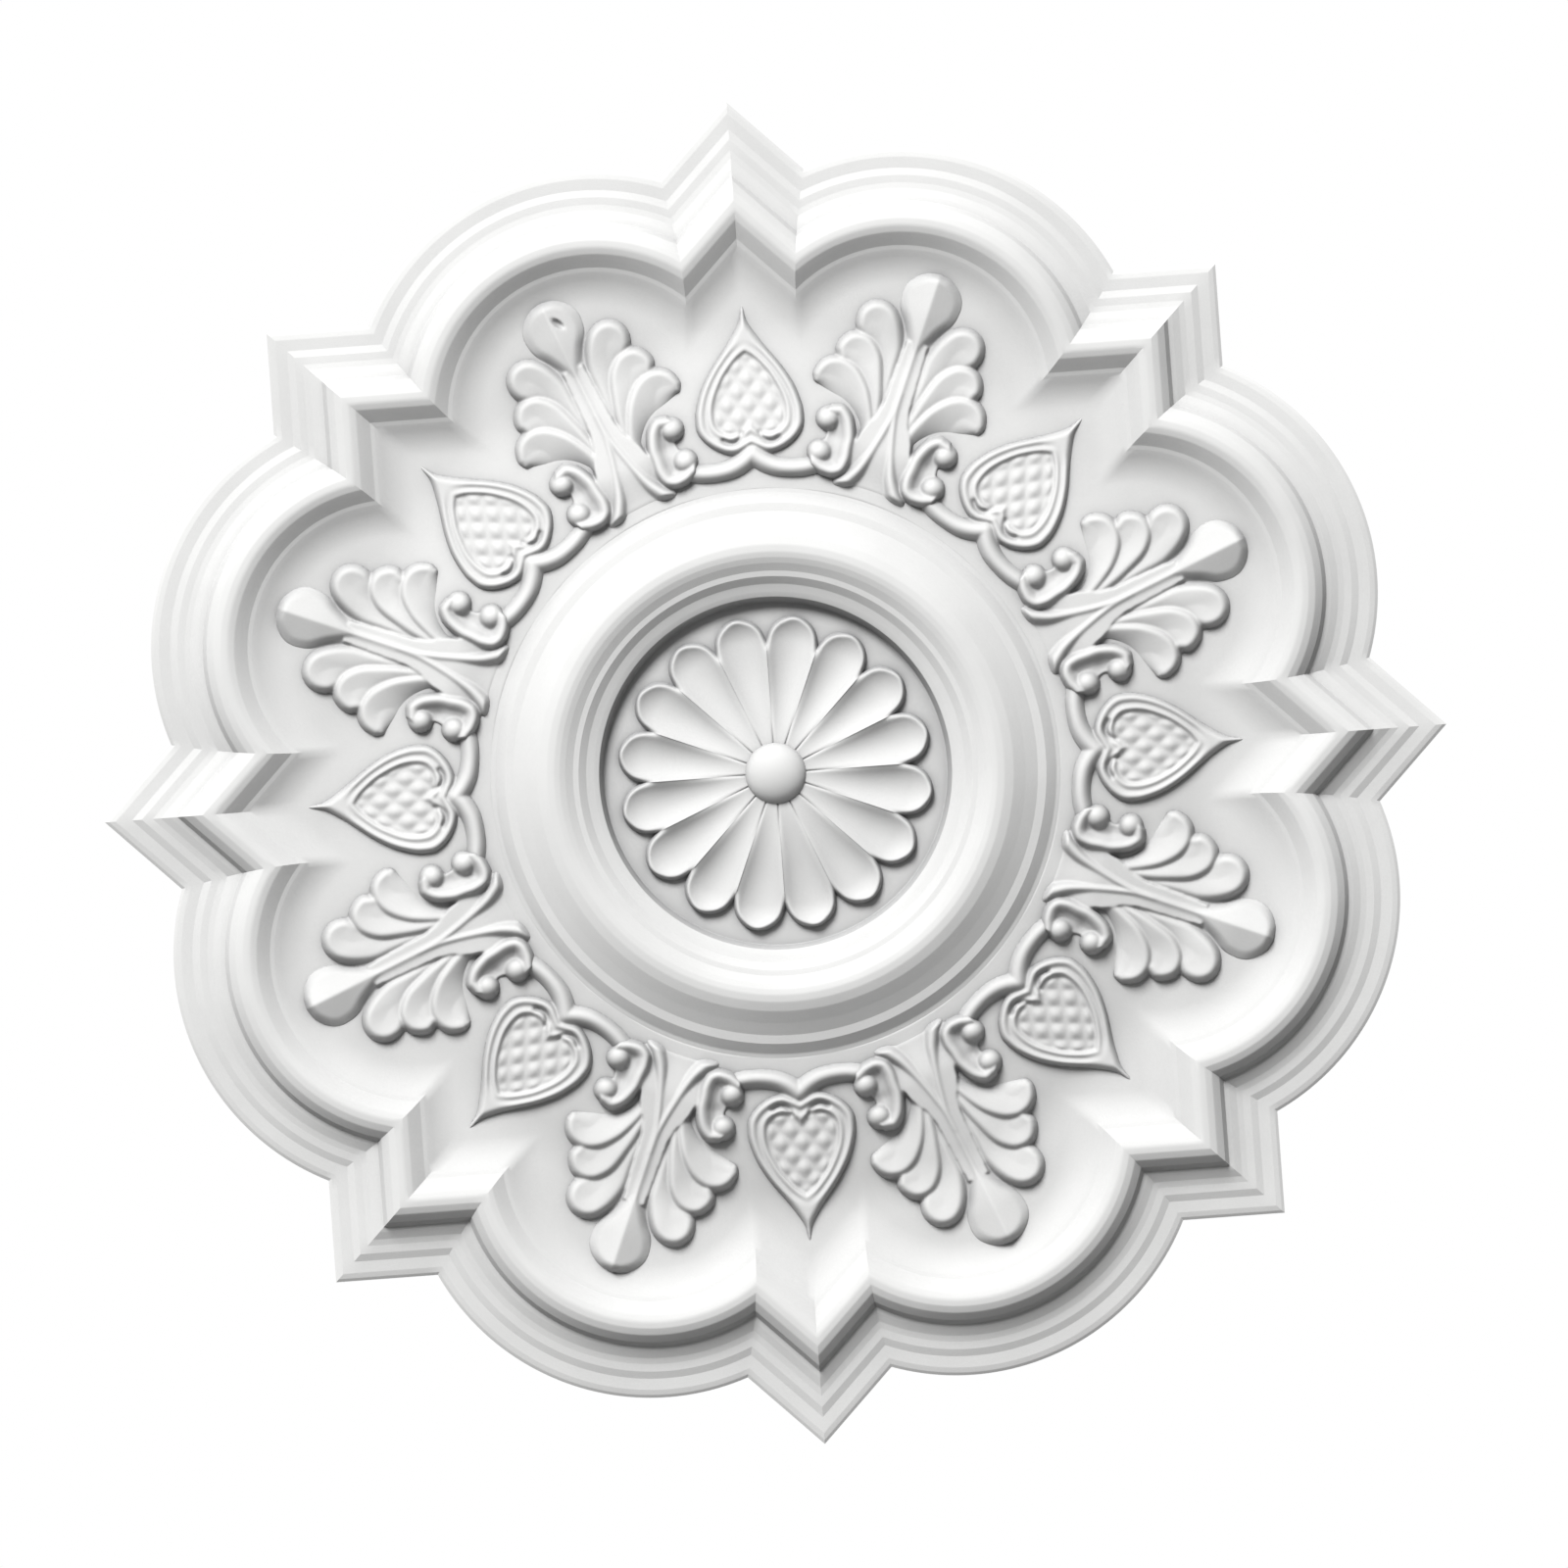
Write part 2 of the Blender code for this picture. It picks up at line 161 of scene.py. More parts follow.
def stand_up(name, mesh):
    """Stands a flat piece up, in metres, and gives it its material, body and the node it replaces."""
    mesh.transform(Matrix.Rotation(math.pi / 2, 4, "X") @ Matrix.Scale(MM, 4))
    piece = bpy.data.objects.new(name, mesh)
    bpy.context.scene.collection.objects.link(piece)
    mesh.materials.clear()
    mesh.materials.append(PLASTER)
    mesh.shade_smooth()
    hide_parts("ceiling_rose")
    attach(piece, "root")
    return piece


def skin(name, rows):
    """A closed mesh over rings of equally many points, capped at both ends."""
    count = len(rows[0])
    points = [tuple(p) for row in rows for p in row]
    faces = []
    for r in range(len(rows) - 1):
        for i in range(count):
            j = (i + 1) % count
            faces.append((r * count + i, r * count + j, (r + 1) * count + j, (r + 1) * count + i))
    faces.append(tuple(range(count))[::-1])
    last = (len(rows) - 1) * count
    faces.append(tuple(range(last, last + count)))
    mesh = bpy.data.meshes.new(name)
    mesh.from_pydata(points, [], faces)
    mesh.update()
    return mesh


def rounded(section, arc_steps=5):
    """A section line with each of its corners rounded by an arc of the corner's own radius."""
    points = [Vector(p[:2]) for p in section]
    line = [points[0]]
    for i in range(1, len(points) - 1):
        here = points[i]
        back = points[i - 1] - here
        on = points[i + 1] - here
        room = 0.5 * min(back.length, on.length)
        bend = math.pi - back.angle(on)
        cut = min(section[i][2] * math.tan(bend / 2) + 1e-3, room)
        start = here + back.normalized() * cut
        end = here + on.normalized() * cut
        for k in range(arc_steps + 1):
            t = k / arc_steps
            line.append(start * (1 - t) ** 2 + here * 2 * t * (1 - t) + end * t**2)
    line.append(points[-1])
    return line


def outline(inset):
    """The outline moved in by inset: right-angled corners between round lobes, mitred where they meet."""
    axis = SECTOR / 2
    centre = Vector((math.cos(axis), math.sin(axis))) * (LOBE_REACH - LOBE_RADIUS)
    to_edge = (CORNER_REACH - centre.x - centre.y) / math.sqrt(2) - inset
    radius = LOBE_RADIUS - inset
    half_chord = math.sqrt(radius**2 - to_edge**2)
    start = math.atan2(to_edge - half_chord, to_edge + half_chord)
    arc = []
    for i in range(LOBE_STEPS + 1):
        angle = start + 2 * (axis - start) * i / LOBE_STEPS
        arc.append(centre + Vector((math.cos(angle), math.sin(angle))) * radius)
    corner = Vector((CORNER_REACH - inset * math.sqrt(2), 0.0))
    points = [corner.lerp(arc[0], i / LINE_STEPS) for i in range(LINE_STEPS)]
    points += arc
    turned = Matrix.Rotation(SECTOR, 2) @ corner
    points += [arc[-1].lerp(turned, i / LINE_STEPS) for i in range(1, LINE_STEPS)]
    whole = []
    for fold in range(FOLDS):
        turn = Matrix.Rotation(fold * SECTOR, 2)
        whole += [turn @ p for p in points]
    return whole


def outer_moulding():
    """Flat back, outer moulding and dished field, down to a well below the round moulding."""
    back = [outline(BACK_ARRIS), outline(0.0)]
    rows = [[(p.x, p.y, height) for p in row] for row, height in zip(back, (0.0, BACK_ARRIS))]
    for inset, height in rounded(MOULDING):
        rows.append([(p.x, p.y, height) for p in outline(inset)])
    for k in range(1, COVE_ROWS + 1):
        inset = COVE_INSET + COVE_WIDTH * k / COVE_ROWS
        rows.append([(p.x, p.y, float(field_height(p.length, inset))) for p in outline(inset)])
    inner = outline(COVE_INSET + COVE_WIDTH)
    for k in range(1, FIELD_ROWS + 1):
        row = []
        for p in inner:
            q = p.lerp(p.normalized() * WELL_RADIUS, k / FIELD_ROWS)
            row.append((q.x, q.y, float(field_height(q.length, math.inf))))
        rows.append(row)
    rows.append([(x, y, WELL_LEVEL) for x, y, _ in rows[-1]])
    piece = stand_up("outer_moulding", skin("outer_moulding", rows))
    piece.data.set_sharp_from_angle(angle=MITRE_ANGLE)
    # The mitres end at the field, which stays smooth
    first_of_field = len(rows[0]) * (len(back) + len(rounded(MOULDING)) - 1)
    for edge in piece.data.edges:
        if min(edge.vertices) >= first_of_field:
            edge.use_edge_sharp = False
    return piece


def round_moulding():
    """The round moulding and the rosette's floor: half a section spun round the axis."""
    line = [(p.x, p.y + ring_foot()) for p in rounded(ROUND_MOULDING)]
    line = [(line[0][0], RING_BOTTOM)] + line + [(0.0, line[-1][1])]
    mesh = bpy.data.meshes.new("round_moulding")
    mesh.from_pydata([(x, 0.0, z) for x, z in line], [(i, i + 1) for i in range(len(line) - 1)], [])
    work = bpy.data.objects.new("work", mesh)
    bpy.context.scene.collection.objects.link(work)
    bpy.context.view_layer.objects.active = work
    work.select_set(True)
    bpy.ops.object.mode_set(mode="EDIT")
    bpy.ops.mesh.select_all(action="SELECT")
    bpy.ops.mesh.spin(steps=RING_STEPS, angle=2 * math.pi, center=(0, 0, 0), axis=(0, 0, 1))
    bpy.ops.mesh.select_all(action="SELECT")
    bpy.ops.mesh.remove_doubles(threshold=0.005)
    bpy.ops.mesh.select_all(action="DESELECT")
    bpy.ops.mesh.select_non_manifold()
    bpy.ops.mesh.edge_face_add()
    bpy.ops.mesh.select_all(action="SELECT")
    bpy.ops.mesh.normals_make_consistent(inside=False)
    bpy.ops.object.mode_set(mode="OBJECT")
    bpy.data.objects.remove(work)
    return stand_up("round_moulding", mesh)


# Relief of the leaves and hearts: heights worked out on one side of the ornament's axis, in millimetres.
# U runs outwards from the rose's axis and V sideways from the ornament's own axis.
CELL = 0.25
# Every second line of the grid goes into the mesh
MESH_STRIDE = 2
# Height given to places outside a form, and the height at which the relief's mesh ends, both under the field
SUNK = -0.9
EDGE_LEVEL = -0.35
# Level over the back to which the skirts of the relief run down, inside the body
SKIRT_LEVEL = 5.0


class Ground:
    """A grid of places on one side of an ornament's axis, with the distances that its relief needs."""

    def __init__(self, u_low, u_high, v_high):
        us = np.arange(u_low, u_high + CELL / 2, CELL)
        vs = np.arange(0.0, v_high + CELL / 2, CELL)
        self.u, self.v = np.meshgrid(us, vs, indexing="ij")

    def distance(self, curve):
        """Distance to a curve, and the share of the curve's length at its nearest point."""
        best = np.full(self.u.shape, 1e9)
        share = np.zeros(self.u.shape)
        steps = np.hypot(*np.diff(curve, axis=0).T)
        runs = np.concatenate([[0.0], np.cumsum(steps)])
        for i in range(len(curve) - 1):
            du, dv = curve[i + 1] - curve[i]
            t = ((self.u - curve[i][0]) * du + (self.v - curve[i][1]) * dv) / (steps[i] ** 2 + 1e-12)
            t = np.clip(t, 0.0, 1.0)
            gap = np.hypot(self.u - curve[i][0] - t * du, self.v - curve[i][1] - t * dv)
            near = gap < best
            best = np.where(near, gap, best)
            share = np.where(near, (runs[i] + t * steps[i]) / runs[-1], share)
        return best, share

    def inside(self, curve):
        """Whether each place lies within a closed curve."""
        count = np.zeros(self.u.shape, dtype=int)
        v = self.v + 0.001
        for (u0, v0), (u1, v1) in zip(curve, np.roll(curve, -1, axis=0)):
            spans = (v < v0) != (v < v1)
            cross = u0 + (v - v0) * (u1 - u0) / (v1 - v0 + 1e-12)
            count += spans & (self.u < cross)
        return count % 2 == 1


def smooth_curve(points, steps=7):
    """A smooth curve through given points."""
    knots = np.array(points, dtype=float)
    knots = np.vstack([2 * knots[0] - knots[1], knots, 2 * knots[-1] - knots[-2]])
    curve = []
    for a, b, c, d in zip(knots, knots[1:], knots[2:], knots[3:]):
        for i in range(steps):
            t = i / steps
            bend = 2 * a - 5 * b + 4 * c - d
            twist = 3 * b - a - 3 * c + d
            curve.append(0.5 * (2 * b + (c - a) * t + bend * t**2 + twist * t**3))
    curve.append(knots[-2])
    return np.array(curve)


def shoulder(gap, width):
    """0 at a foot, then a wall that rounds over to 1 at a width from it."""
    return 1.0 - (1.0 - np.clip(gap / width, 0.0, 1.0)) ** 2


def union(a, b, blend=0.35):
    """The higher of two heights, with a small fillet where they meet."""
    h = np.clip(0.5 + 0.5 * (a - b) / blend, 0.0, 1.0)
    return b * (1 - h) + a * h + blend * h * (1 - h)


def ridge(ground, path, width, rise):
    """A round ridge along a path; width and rise are pairs for its start and its end."""
    gap, share = ground.distance(smooth_curve(path))
    across = np.clip(gap / mix(width[0], width[1], share), 0.0, 1.2)
    return np.where(across < 1.2, mix(rise[0], rise[1], share) * (1.0 - across**2), SUNK)


def dome(ground, centre, radius, rise, steep=0.5):
    """A rounded knob; a low value of steep gives it fuller shoulders."""
    gap = np.hypot(ground.u - centre[0], ground.v - centre[1]) / radius
    return np.where(gap < 1.0, rise * np.clip(1.0 - gap**2, 0.0, 1.0) ** steep, SUNK)


# Side lobes of a leaf from the tip down, each with its foot line, from the stem round its end, and its heel
SIDE_LOBES = (
    {
        "foot": (
            (190.0, 5.2), (205.9, 4.9), (217.0, 5.2), (227.5, 9.1), (234.2, 14.4), (237.0, 20.7),
            (235.9, 27.2), (231.6, 31.6), (226.2, 33.0), (220.8, 31.8), (217.0, 29.0),
        ),
        "heel": ((188.0, 6.8), (197.0, 9.4), (208.2, 14.4), (214.6, 20.6), (216.4, 26.6)),
        "rise": 4.9,
        "heel_rise": 2.0,
        "reach": 4.6,
    },
    {
        "foot": (
            (173.2, 5.4), (188.6, 6.6), (198.7, 8.8), (210.2, 13.0), (217.6, 19.7), (219.8, 26.7),
            (218.0, 33.0), (213.0, 37.0), (207.6, 37.9), (203.2, 35.6),
        ),
        "heel": ((171.0, 7.0), (180.0, 9.0), (190.2, 14.6), (199.0, 22.8), (201.8, 30.4)),
        "rise": 5.3,
        "heel_rise": 2.0,
        "reach": 4.5,
    },
    {
        "foot": (
            (157.0, 9.0), (166.0, 7.2), (176.0, 7.1), (184.2, 9.4), (194.3, 14.8), (202.2, 22.6),
            (205.3, 30.8), (203.8, 38.3), (199.2, 43.0), (193.0, 44.6), (189.6, 43.4),
        ),
        "heel": ((156.0, 11.4), (166.0, 11.8), (175.0, 15.2), (181.6, 22.6), (184.6, 32.0), (187.6, 40.6)),
        "rise": 5.3,
        "heel_rise": -0.7,
        "reach": 4.5,
    },
)
# A side lobe's share of its height at the stem, and the distances sideways over which it swells to the whole
LOBE_SWELL = 0.74
LOBE_SWELL_RUN = (5.0, 17.0)
# Foot line of the tip lobe; its height on the axis and its slope to the sides, each with its gain at the end
MEDIAN_FOOT = (
    (200.0, 2.2), (207.0, 2.6), (217.6, 4.4), (228.5, 9.2), (236.4, 14.1),
    (245.5, 15.2), (252.0, 12.2), (256.6, 6.4), (258.0, 0.0),
)
MEDIAN_NECK = (200.0, 0.0)
MEDIAN_TIP = (208.0, 240.0)
MEDIAN_HEIGHT = (3.7, 2.2)
MEDIAN_SLOPE = (0.26, 0.06)
MEDIAN_REACH = 5.0
# One of the two ridges into which the stem's keel splits, with its half width and its height at both ends
STEM_RIDGE = (
    (196.0, 0.0), (186.0, 0.4), (178.0, 1.7), (170.0, 3.5), (161.0, 5.9), (154.0, 8.3),
    (148.5, 11.4), (144.0, 14.6),
)
STEM_RIDGE_WIDTH = (2.6, 4.2)
STEM_RIDGE_RISE = (4.0, 3.9)
# Half width of the stem's sheet between the lobes: distance outwards, and sideways
STEM_SHEET = (
    (144.0, 17.0),
    (150.0, 14.5),
    (165.0, 14.8),
    (173.0, 13.0),
    (182.0, 8.0),
    (190.0, 6.6),
    (222.0, 5.6),
)
# Foot line of the scroll's band, and the line that closes it across its mouth
SCROLL_FOOT = (
    (147.4, 31.0), (145.8, 26.0), (146.0, 19.4), (149.6, 14.4), (156.0, 12.8), (162.5, 13.4),
    (169.3, 14.4), (177.6, 18.4), (182.2, 24.5), (181.0, 30.5),
)
SCROLL_MOUTH = ((175.0, 33.0), (169.0, 29.0), (165.0, 28.6), (161.0, 29.5), (154.0, 33.5))
# The stem's sheet: its height at the root, its gain and the distances over which it gains, and its end
STEM_ROOT_HEIGHT = 0.2
STEM_GAIN = 2.8
STEM_GAIN_RUN = (144.0, 168.0)
STEM_END = 222.0
# The stem's keel: the distances between which it runs, its height and its slope to the sides
KEEL = (184.0, 232.0)
KEEL_HEIGHT = 4.0
KEEL_SLOPE = 0.5
# Height of the scroll's band at distances from its foot line
SCROLL_BAND = (
    (0.0, 0.0),
    (0.8, 2.7),
    (1.8, 4.4),
    (2.8, 5.0),
    (4.0, 5.0),
    (5.5, 4.1),
    (7.5, 2.2),
    (9.5, 1.4),
)
# The scroll's balls, and the trough between them
UPPER_BALL = (173.4, 30.2)
LOWER_BALL = (156.4, 29.2)
BALL_RADIUS = 6.1
BALL_RISE = 5.6
TROUGH = (165.8, 25.2)
TROUGH_DEPTH = 0.8
TROUGH_REACH = 3.0
# Radii between which the relief sinks below the field at the foot of the round moulding
RELIEF_FOOT = (142.6, 147.2)
# Passes of softening for the leaves and for the hearts
LEAF_SOFTNESS = 8
HEART_SOFTNESS = 10


def side_lobe(ground, lobe):
    """A lobe like a shingle: a rounded rim towards the leaf's tip, and a slope down to its heel."""
    foot = smooth_curve(lobe["foot"])
    heel = smooth_curve(lobe["heel"])
    gap, _ = ground.distance(foot)
    away, _ = ground.distance(heel)
    slope = gap / (gap + away + 1e-6)
    swell = LOBE_SWELL + (1 - LOBE_SWELL) * ease(ground.v, *LOBE_SWELL_RUN)
    top = mix(lobe["rise"] * swell, lobe["heel_rise"], slope**1.2)
    height = top * shoulder(gap, lobe["reach"])
    return np.where(ground.inside(np.vstack([foot, heel[::-1]])), height, SUNK)


def median_lobe(ground):
    """The lobe at the leaf's tip, with a crisp keel along its middle."""
    foot = smooth_curve(MEDIAN_FOOT)
    gap, _ = ground.distance(foot)
    tip = ease(ground.u, *MEDIAN_TIP)
    slope = MEDIAN_SLOPE[0] + MEDIAN_SLOPE[1] * tip
    top = MEDIAN_HEIGHT[0] + MEDIAN_HEIGHT[1] * tip - ground.v * slope
    height = top * shoulder(gap, MEDIAN_REACH)
    closed = np.vstack([foot, [MEDIAN_NECK]])
    return np.where(ground.inside(closed), height, SUNK)


def stem(ground):
    """A thin sheet with a keel that splits into two ridges with a valley between them."""
    half_width = np.interp(ground.u, *np.transpose(STEM_SHEET))
    sheet = STEM_GAIN * ease(ground.u, *STEM_GAIN_RUN) + STEM_ROOT_HEIGHT
    height = np.where((ground.v < half_width) & (ground.u < STEM_END), sheet, SUNK)
    keel = KEEL_HEIGHT - KEEL_SLOPE * ground.v
    height = union(height, np.where((ground.u > KEEL[0]) & (ground.u < KEEL[1]), keel, SUNK), 0.5)
    split = ridge(ground, STEM_RIDGE, STEM_RIDGE_WIDTH, STEM_RIDGE_RISE)
    return union(height, split, 0.5)


def scroll(ground):
    """The scroll beside the stem: a round band that curls about a deep trough, with a ball at each end."""
    foot = smooth_curve(SCROLL_FOOT)
    gap, _ = ground.distance(foot)
    band = np.interp(gap, *np.transpose(SCROLL_BAND))
    height = np.where(ground.inside(np.vstack([foot, SCROLL_MOUTH])), band, SUNK)
    trough = np.hypot(ground.u - TROUGH[0], ground.v - TROUGH[1])
    height = height - TROUGH_DEPTH * np.exp(-((trough / TROUGH_REACH) ** 2)) * (height > 0)
    for ball in (UPPER_BALL, LOWER_BALL):
        height = np.maximum(height, dome(ground, ball, BALL_RADIUS, BALL_RISE, 0.6))
    return height


def fall_to_ring(ground, height):
    """Brings the relief down below the field at the foot of the round moulding."""
    share = ease(np.hypot(ground.u, ground.v), *RELIEF_FOOT)
    return mix(SUNK, height, share)


def leaf_height(ground):
    """Height of half a leaf over the dished field; below zero it is under the field."""
    height = median_lobe(ground)
    for lobe in SIDE_LOBES:
        height = np.maximum(height, side_lobe(ground, lobe))
    height = union(height, stem(ground), 0.5)
    height = np.maximum(height, scroll(ground))
    return fall_to_ring(ground, height)


def softened(height, passes):
    """Rounds the relief's edges a little, as a cast from a worn mould has them; the axis is a mirror line."""
    for _ in range(passes):
        wide = np.pad(height, 1, mode="edge")
        wide[:, 0] = wide[:, 2]
        height = (wide[:-2, 1:-1] + wide[2:, 1:-1] + 2 * wide[1:-1, 1:-1]) / 4
        wide = np.pad(height, 1, mode="edge")
        wide[:, 0] = wide[:, 2]
        height = (wide[1:-1, :-2] + wide[1:-1, 2:] + 2 * wide[1:-1, 1:-1]) / 4
    return height


def relief_mesh(name, ground, height):
    """The surface of the relief on both sides of the axis, with its edge still open."""
    u = ground.u[::MESH_STRIDE, ::MESH_STRIDE]
    v = ground.v[::MESH_STRIDE, ::MESH_STRIDE]
    half = height[::MESH_STRIDE, ::MESH_STRIDE]
    u = np.hstack([u[:, :0:-1], u])
    v = np.hstack([-v[:, :0:-1], v])
    h = np.hstack([half[:, :0:-1], half])
    used = h > EDGE_LEVEL
    cells = used[:-1, :-1] & used[1:, :-1] & used[1:, 1:] & used[:-1, 1:]
    corner = np.zeros(h.shape, dtype=bool)
    for du in (0, 1):
        for dv in (0, 1):
            corner[du : h.shape[0] - 1 + du, dv : h.shape[1] - 1 + dv] |= cells
    index = np.full(h.shape, -1)
    index[corner] = np.arange(corner.sum())
    base = field_height(np.hypot(u, v), math.inf)
    points = np.stack([u[corner], v[corner], (base + h)[corner]], axis=1)
    i, j = np.nonzero(cells)
    faces = np.stack([index[i, j], index[i + 1, j], index[i + 1, j + 1], index[i, j + 1]], axis=1)
    mesh = bpy.data.meshes.new(name)
    mesh.from_pydata(points.tolist(), [], faces.tolist())
    mesh.update()
    return mesh


def close_below(mesh, level):
    """Extrudes the open edge of a relief down to a level inside the body, and fills it there."""
    work = bpy.data.objects.new("work", mesh)
    bpy.context.scene.collection.objects.link(work)
    bpy.ops.object.select_all(action="DESELECT")
    bpy.context.view_layer.objects.active = work
    work.select_set(True)
    bpy.ops.object.mode_set(mode="EDIT")
    bpy.ops.mesh.select_all(action="DESELECT")
    bpy.ops.mesh.select_non_manifold()
    bpy.ops.mesh.extrude_edges_move(TRANSFORM_OT_translate={"value": (0, 0, -1)})
    bpy.ops.object.mode_set(mode="OBJECT")
    for vertex in mesh.vertices:
        if vertex.select:
            vertex.co.z = level
    bpy.ops.object.mode_set(mode="EDIT")
    bpy.ops.mesh.fill()
    bpy.ops.mesh.select_all(action="SELECT")
    bpy.ops.mesh.normals_make_consistent(inside=False)
    bpy.ops.object.mode_set(mode="OBJECT")
    bpy.data.objects.remove(work)


def copies(name, mesh, first_bearing, count=FOLDS, changed=None):
    """Copies of a piece at equal bearings, each with a mesh of its own; changed gives some their own form."""
    for k in range(count):
        copy = (changed or {}).get(k, mesh).copy()
        copy.transform(Matrix.Rotation(first_bearing + 2 * math.pi * k / count, 4, "Z"))
        stand_up(f"{name}_{k + 1}", copy)
    bpy.data.meshes.remove(mesh)


# A slanted pit in the tip of one leaf: its place, its direction, its length and width, and its depth
PITTED_LEAF = 2
PIT_PLACE = (244.8, -3.6)
PIT_SLANT = math.radians(28)
PIT_SIZE = (3.2, 1.5)
PIT_DEPTH = 1.9


def pit(mesh):
    """Presses the pit into a leaf that lies along +X."""
    for vertex in mesh.vertices:
        u = vertex.co.x - PIT_PLACE[0]
        v = vertex.co.y - PIT_PLACE[1]
        along = u * math.cos(PIT_SLANT) + v * math.sin(PIT_SLANT)
        across = v * math.cos(PIT_SLANT) - u * math.sin(PIT_SLANT)
        reach = (along / PIT_SIZE[0]) ** 2 + (across / PIT_SIZE[1]) ** 2
        if vertex.co.z > SKIRT_LEVEL + 0.1 and reach < 6.0:
            vertex.co.z -= PIT_DEPTH * math.exp(-(reach**1.5))


# Half of a heart: its outer edge, the inner edge of its inner band, and the hook at that band's end
HEART_EDGE = (
    (231.4, 0.0), (229.0, 0.7), (226.0, 1.2), (222.0, 2.2), (216.5, 5.4), (207.6, 11.4), (199.6, 17.3),
    (190.0, 22.8), (180.0, 26.1), (174.1, 26.7), (168.6, 26.0), (163.4, 22.4), (159.4, 17.0), (157.2, 11.5),
    (157.2, 7.0), (159.4, 2.6), (160.8, 0.0),
)
HEART_BED = (
    (207.0, 0.0), (203.6, 4.8), (196.7, 10.6), (190.0, 14.3), (183.0, 17.0), (177.0, 17.7), (171.4, 16.8),
    (168.0, 13.6), (166.8, 9.6), (167.2, 5.2), (169.4, 2.4), (172.4, 0.0),
)
# The groove that leaves the hook free: its depth, its reach to the sides and its line
HOOK_DEPTH = 1.7
HOOK_REACH = 1.1
HOOK_PIT = ((164.2, 13.6), (162.6, 10.8), (163.0, 7.6), (165.4, 5.2), (167.2, 4.4))
# Height of a heart's bands at shares of the way from its outer edge to its bed
HEART_BANDS = (
    (0.0, 0.0),
    (0.10, 2.2),
    (0.26, 3.3),
    (0.40, 3.0),
    (0.52, 2.1),
    (0.66, 2.2),
    (0.80, 3.0),
    (0.92, 2.7),
    (1.0, 1.5),
)
# The bands run together into a plain ridge towards the tip, between these distances
HEART_TIP = (205.0, 214.0)
# Pillows in the heart's bed lie on a diamond lattice: one on the axis at this distance, and its pitches
PILLOW_START = 181.3
PILLOW_PITCH_OUT = 12.8
PILLOW_PITCH_ACROSS = 10.6
# Height of the bed between the pillows, the pillows' rise over it, and the height of the bed's edge
BED_HEIGHT = 1.0
PILLOW_RISE = 1.0
BED_EDGE_HEIGHT = 1.5
# Plain ridge towards the tip: its height and the width of its rounded walls
TIP_HEIGHT = 3.1
TIP_REACH = 3.4
# Half of the link below a heart, with its half width and its height at both ends, and the cusp in its middle
LINK = ((157.0, 0.0), (153.0, 5.0), (150.2, 10.6), (148.8, 17.0), (148.6, 24.0), (149.6, 31.0))
LINK_WIDTH = (5.2, 4.6)
LINK_RISE = (4.1, 3.7)
LINK_CUSP = (158.0, 0.0)
CUSP_RADIUS = 5.0
CUSP_RISE = 3.0


def heart_height(ground):
    """Height of half a heart and half a link over the dished field."""
    edge = smooth_curve(HEART_EDGE)
    bed = smooth_curve(HEART_BED)
    gap, _ = ground.distance(edge)
    away, _ = ground.distance(bed)
    share = gap / (gap + away + 1e-6)
    bands = np.interp(share, *np.transpose(HEART_BANDS))
    plain = TIP_HEIGHT * shoulder(gap, TIP_REACH)
    bands = mix(bands, plain, ease(ground.u, *HEART_TIP))
    height = np.where(ground.inside(edge), bands, SUNK)
    one = (ground.u - PILLOW_START) / PILLOW_PITCH_OUT + ground.v / PILLOW_PITCH_ACROSS
    other = (ground.u - PILLOW_START) / PILLOW_PITCH_OUT - ground.v / PILLOW_PITCH_ACROSS
    pillows = (np.cos(np.pi * one) * np.cos(np.pi * other)) ** 2
    floor = BED_HEIGHT + PILLOW_RISE * pillows**0.7 * ease(away, 0.2, 2.2)
    height = np.where(ground.inside(bed), mix(BED_EDGE_HEIGHT, floor, ease(away, 0.0, 1.4)), height)
    hook, _ = ground.distance(smooth_curve(HOOK_PIT))
    height = height - HOOK_DEPTH * np.exp(-((hook / HOOK_REACH) ** 2)) * (height > 0)
    link = ridge(ground, LINK, LINK_WIDTH, LINK_RISE)
    height = union(height, link, 0.4)
    height = union(height, dome(ground, LINK_CUSP, CUSP_RADIUS, CUSP_RISE, 1.0), 0.4)
    return fall_to_ring(ground, height)


# Where the grids of the leaves and the hearts start, where each ends, and how far each runs sideways
RELIEF_START = 141.5
LEAF_ENDS = (262.0, 47.0)
HEART_ENDS = (236.0, 34.0)


def leaves():
    ground = Ground(RELIEF_START, *LEAF_ENDS)
    mesh = relief_mesh("leaf", ground, softened(leaf_height(ground), passes=LEAF_SOFTNESS))
    close_below(mesh, SKIRT_LEVEL)
    worn = mesh.copy()
    pit(worn)
    copies("leaf", mesh, SECTOR / 2, changed={PITTED_LEAF: worn})


def hearts():
    ground = Ground(RELIEF_START, *HEART_ENDS)
    mesh = relief_mesh("heart", ground, softened(heart_height(ground), passes=HEART_SOFTNESS))
    close_below(mesh, SKIRT_LEVEL)
    copies("heart", mesh, 0.0)


# Rosette: its petals' length, their ends' radius, their rims' height and their scoops' depth
PETALS = 16
PETAL_REACH = 77.6
PETAL_ROUND = 12.6
PETAL_RISE = 5.6
PETAL_SCOOP = 4.6
PETAL_START = 8.0
PETAL_ROWS = 44
PETAL_COLUMNS = 28
# A rim's widest, and the distances outwards between which the scoop deepens and the side valleys deepen
PETAL_RIM = 2.4
SCOOP_GROWS = (10.0, 62.0)
VALLEY_GROWS = (58.0, 68.0)
VALLEY_SHARE = 0.12
# Boss: its radius, half its height as a flattened ball, and the rise of its middle over the floor
BOSS_RADIUS = 15.4
BOSS_HALF_HEIGHT = 7.6
BOSS_LIFT = 3.6


